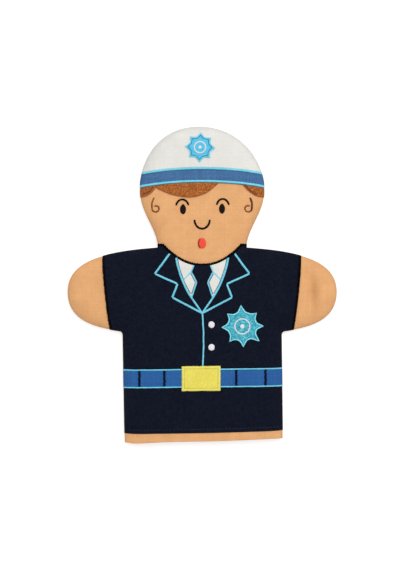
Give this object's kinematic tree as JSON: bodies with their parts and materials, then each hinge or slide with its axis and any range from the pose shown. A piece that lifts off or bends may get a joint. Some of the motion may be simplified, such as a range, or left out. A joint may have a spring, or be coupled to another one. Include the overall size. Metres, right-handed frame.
{
  "type": "hand puppet",
  "caption": "Flat cloth glove puppet of a police officer: two sewn and turned panels, open at the hem, with applied cap, jacket and belt and a stitched face.",
  "frame": {"origin": "middle of the puppet's outline, on the plane that the back panel lies on", "axes": "+Y from the hem to the crown, +Z out of the face, +X towards the puppet's own left arm"},
  "size_m": [0.2374, 0.2801, 0.0145],
  "materials": {
    "tan_cloth": "plain-woven cotton, matt",
    "white_cloth": "off-white short-napped cloth, matt",
    "cap_blue_cloth": "mid-blue cloth, matt",
    "belt_blue_cloth": "blue cloth, matt",
    "navy_cloth": "near-black navy felt, matt",
    "black_thread": "black satin stitch, soft sheen",
    "hair_brown_thread": "brown seed stitch, matt",
    "turquoise_thread": "turquoise satin stitch, soft sheen",
    "badge_blue_thread": "pale blue filling stitch, soft sheen",
    "white_thread": "white satin stitch, soft sheen",
    "buckle_yellow_thread": "yellow satin stitch, soft sheen",
    "red_thread": "red satin stitch, soft sheen"
  },
  "bodies": {
    "root": {"front_panel": "tan_cloth", "back_panel": "tan_cloth", "cap_crown": "white_cloth", "cap_band": "cap_blue_cloth", "cap_band_upper_edging": "turquoise_thread", "cap_band_lower_edging": "turquoise_thread", "cap_badge": "badge_blue_thread", "cap_badge_ring": "white_thread", "cap_badge_dot": "white_thread", "hair_fringe": "hair_brown_thread", "hair_side_left": "hair_brown_thread", "hair_side_right": "hair_brown_thread", "eye_left": "black_thread", "eye_right": "black_thread", "brow_left": "black_thread", "brow_right": "black_thread", "ear_curl_left": "hair_brown_thread", "ear_curl_right": "hair_brown_thread", "nose": "black_thread", "mouth": "red_thread", "jacket": "navy_cloth", "collar_binding": "black_thread", "cuff_binding_left": "black_thread", "cuff_binding_right": "black_thread", "lapel_edging_left": "turquoise_thread", "lapel_edging_right": "turquoise_thread", "lapel_fold_left": "turquoise_thread", "lapel_fold_right": "turquoise_thread", "tie_edging_left": "turquoise_thread", "tie_edging_right": "turquoise_thread", "collar_edging_left": "turquoise_thread", "collar_edging_right": "turquoise_thread", "shirt_collar_left": "white_cloth", "shirt_collar_right": "white_cloth", "shirt_front_left": "white_cloth", "shirt_front_right": "white_cloth", "tie": "navy_cloth", "placket_edging": "turquoise_thread", "button_upper": "white_thread", "button_lower": "white_thread", "chest_badge": "badge_blue_thread", "chest_badge_edging": "turquoise_thread", "chest_badge_ring": "white_thread", "chest_badge_dot": "white_thread", "belt": "belt_blue_cloth", "belt_edging_upper_left": "turquoise_thread", "belt_edging_upper_right": "turquoise_thread", "belt_edging_lower_left": "turquoise_thread", "belt_edging_lower_right": "turquoise_thread", "belt_loop_1": "black_thread", "belt_loop_2": "black_thread", "belt_loop_3": "black_thread", "belt_loop_4": "black_thread", "buckle": "buckle_yellow_thread", "buckle_edging": "buckle_yellow_thread"}
  },
  "joints": []
}
